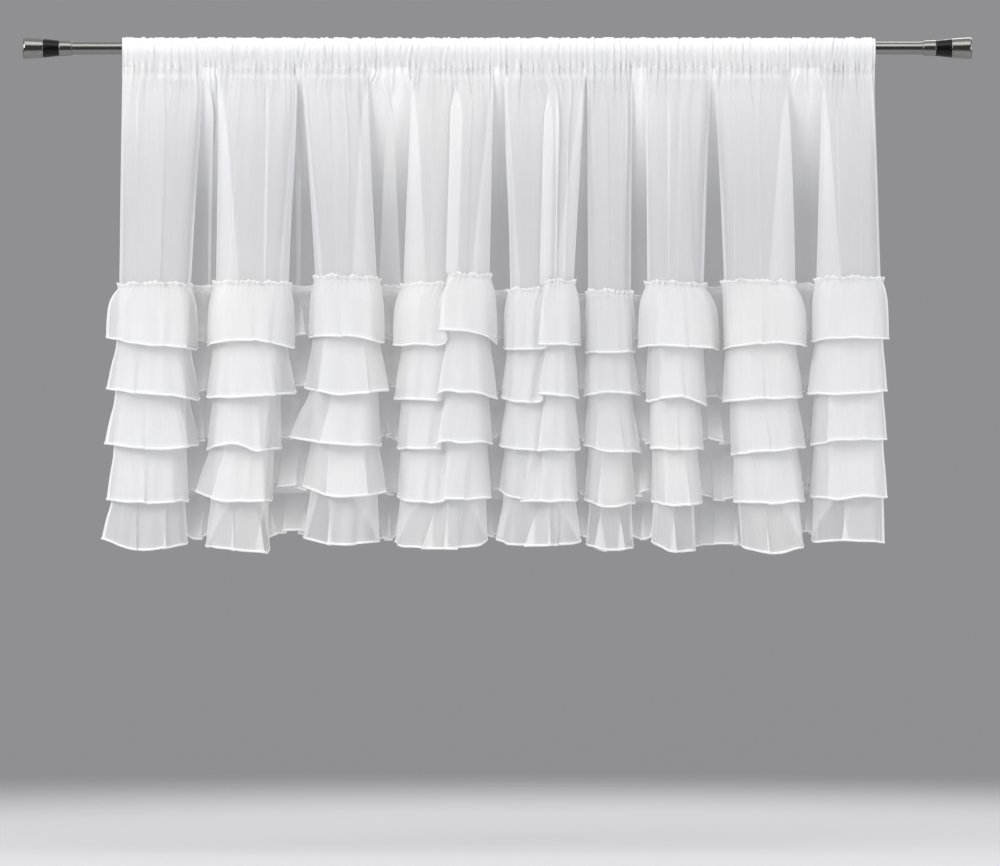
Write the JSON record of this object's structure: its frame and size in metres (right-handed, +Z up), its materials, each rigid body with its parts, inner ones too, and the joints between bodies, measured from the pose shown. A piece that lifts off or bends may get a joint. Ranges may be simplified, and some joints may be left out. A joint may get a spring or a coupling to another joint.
{
  "type": "ruffled voile net curtain on a curtain rod",
  "caption": "Sheer white voile net curtain gathered on a metal rod by its rod pocket, with tiers of gathered ruffles over the lower half and a flared finial on each rod end.",
  "frame": {"origin": "on the rod's axis, midway along the rod", "axes": "+X along the rod to the right as seen from the front, +Y away from the viewer (the front faces -Y), +Z up"},
  "size_m": [1.898, 0.1199, 1.0327],
  "materials": {
    "panel_voile": "sheer plain-woven voile",
    "ruffle_voile": "sheer plain-woven voile, gathered",
    "rod_steel": "satin",
    "band_black": "satin black"
  },
  "bodies": {
    "root": {"panel": "panel_voile", "ruffle_1": "ruffle_voile", "ruffle_2": "ruffle_voile", "ruffle_3": "ruffle_voile", "ruffle_4": "ruffle_voile", "ruffle_5": "ruffle_voile", "rod": "rod_steel", "finial_left": "rod_steel", "finial_right": "rod_steel", "finial_left_band": "band_black", "finial_right_band": "band_black"}
  },
  "joints": []
}
